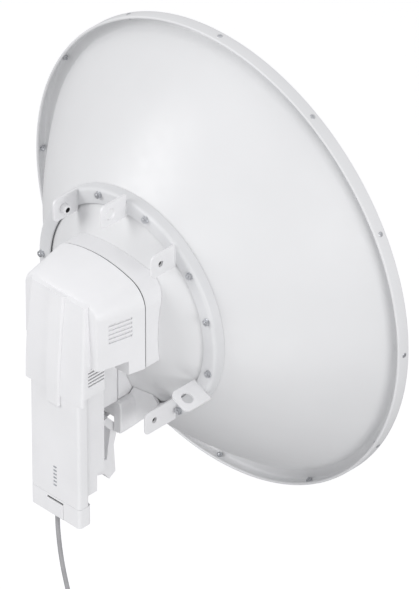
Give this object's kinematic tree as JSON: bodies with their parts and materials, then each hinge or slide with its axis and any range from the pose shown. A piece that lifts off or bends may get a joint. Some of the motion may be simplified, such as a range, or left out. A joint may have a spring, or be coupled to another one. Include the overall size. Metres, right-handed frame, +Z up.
{
  "type": "outdoor wireless bridge",
  "caption": "Parabolic dish antenna with a pressed mounting ring, a shrouded feed housing and a slim radio that slides onto a cradle behind it, with one data cable.",
  "frame": {"origin": "on the boresight axis, level with the bolt holes of the upper mast ears, where the mast bracket holds the part", "axes": "-Y along the boresight, out of the dish's mouth; +Y to the rear, where the housing and the radio are; +Z up; +X to the object's left"},
  "size_m": [0.65, 0.3074, 0.8793],
  "materials": {
    "dish_paint": "satin white powder coat on sheet metal, taken as steel",
    "ring_paint": "satin white powder coat on steel",
    "white_plastic": "fine-grained white outdoor plastic",
    "feed_plastic": "natural low-loss plastic",
    "steel": "stainless steel",
    "aluminium": "machined aluminium",
    "rubber": "dark silicone rubber",
    "board": "green solder resist",
    "gold": "gold-plated brass",
    "dark_plastic": "dark plastic",
    "light_pipe": "smoked clear plastic",
    "cable_jacket": "grey outdoor cable jacket",
    "plug_plastic": "clear plug plastic"
  },
  "bodies": {
    "structure": {"reflector_dish": "dish_paint", "mounting_ring": "ring_paint", "mast_ear_upper_left": "ring_paint", "mast_ear_upper_right": "ring_paint", "mast_ear_lower_left": "ring_paint", "mast_ear_lower_right": "ring_paint", "clinch_nut_upper_left": "ring_paint", "clinch_nut_upper_right": "ring_paint", "clinch_nut_lower_left": "ring_paint", "clinch_nut_lower_right": "ring_paint", "radial_lug_top": "ring_paint", "radial_lug_right": "ring_paint", "radial_lug_left": "ring_paint", "hub_flange": "aluminium", "hub_gasket": "rubber", "feed_tube": "aluminium", "feed_dielectric": "feed_plastic", "subreflector": "aluminium", "feed_cap": "white_plastic", "feed_o_ring": "rubber", "feed_block": "aluminium", "coax_port_left": "gold", "coax_port_right": "gold", "coax_jumper_left": "dark_plastic", "coax_jumper_right": "dark_plastic", "feed_housing_base": "white_plastic", "housing_seal": "rubber", "radio_cradle": "white_plastic", "cradle_foot": "white_plastic"},
    "shroud": {"shroud_cover": "white_plastic"},
    "radio": {"radio_base_shell": "white_plastic", "radio_rear_shell": "white_plastic", "radio_gasket": "rubber", "radio_board": "board", "shield_can": "aluminium", "heat_spreader": "aluminium", "data_jack": "dark_plastic", "light_pipe": "light_pipe", "radio_port_left": "gold", "radio_port_right": "gold", "jack_plug": "plug_plastic", "ground_screw": "steel", "latch_pin": "steel", "latch_spring": "steel", "data_cable": "cable_jacket", "cable_coil": "cable_jacket", "cable_tail": "cable_jacket", "data_plug": "plug_plastic", "coil_tie": "dark_plastic"},
    "latch": {"latch_lever": "white_plastic"},
    "port_cover": {"port_cover": "white_plastic", "cable_grommet": "rubber"},
    "thumb_latch": {"thumb_latch": "white_plastic"},
    "reset_button": {"reset_button": "dark_plastic"}
  },
  "joints": [
    {"name": "shroud_slide", "type": "slide", "parent": "structure", "child": "shroud", "axis": [0, 1, 0], "range_m": [0, 0.09]},
    {"name": "radio_slide", "type": "slide", "parent": "structure", "child": "radio", "axis": [0, 0, -1], "range_m": [0, 0.06]},
    {"name": "latch_press", "type": "hinge", "parent": "radio", "child": "latch", "pos_m": [0, 0.0545, -0.215], "axis": [1, 0, 0], "range_deg": [0, 7], "stiffness_Nm_per_rad": 3, "springref_deg": -2.86},
    {"name": "port_cover_slide", "type": "slide", "parent": "radio", "child": "port_cover", "axis": [0, 0, -1], "range_m": [0, 0.02]},
    {"name": "thumb_latch_press", "type": "slide", "parent": "port_cover", "child": "thumb_latch", "axis": [0, -1, 0], "range_m": [0, 0.0005], "stiffness_N_per_m": 2500, "springref_m": -0.0004},
    {"name": "reset_button_press", "type": "slide", "parent": "radio", "child": "reset_button", "axis": [0, 0, 1], "range_m": [0, 0.0006], "stiffness_N_per_m": 800, "springref_m": -0.0004}
  ]
}
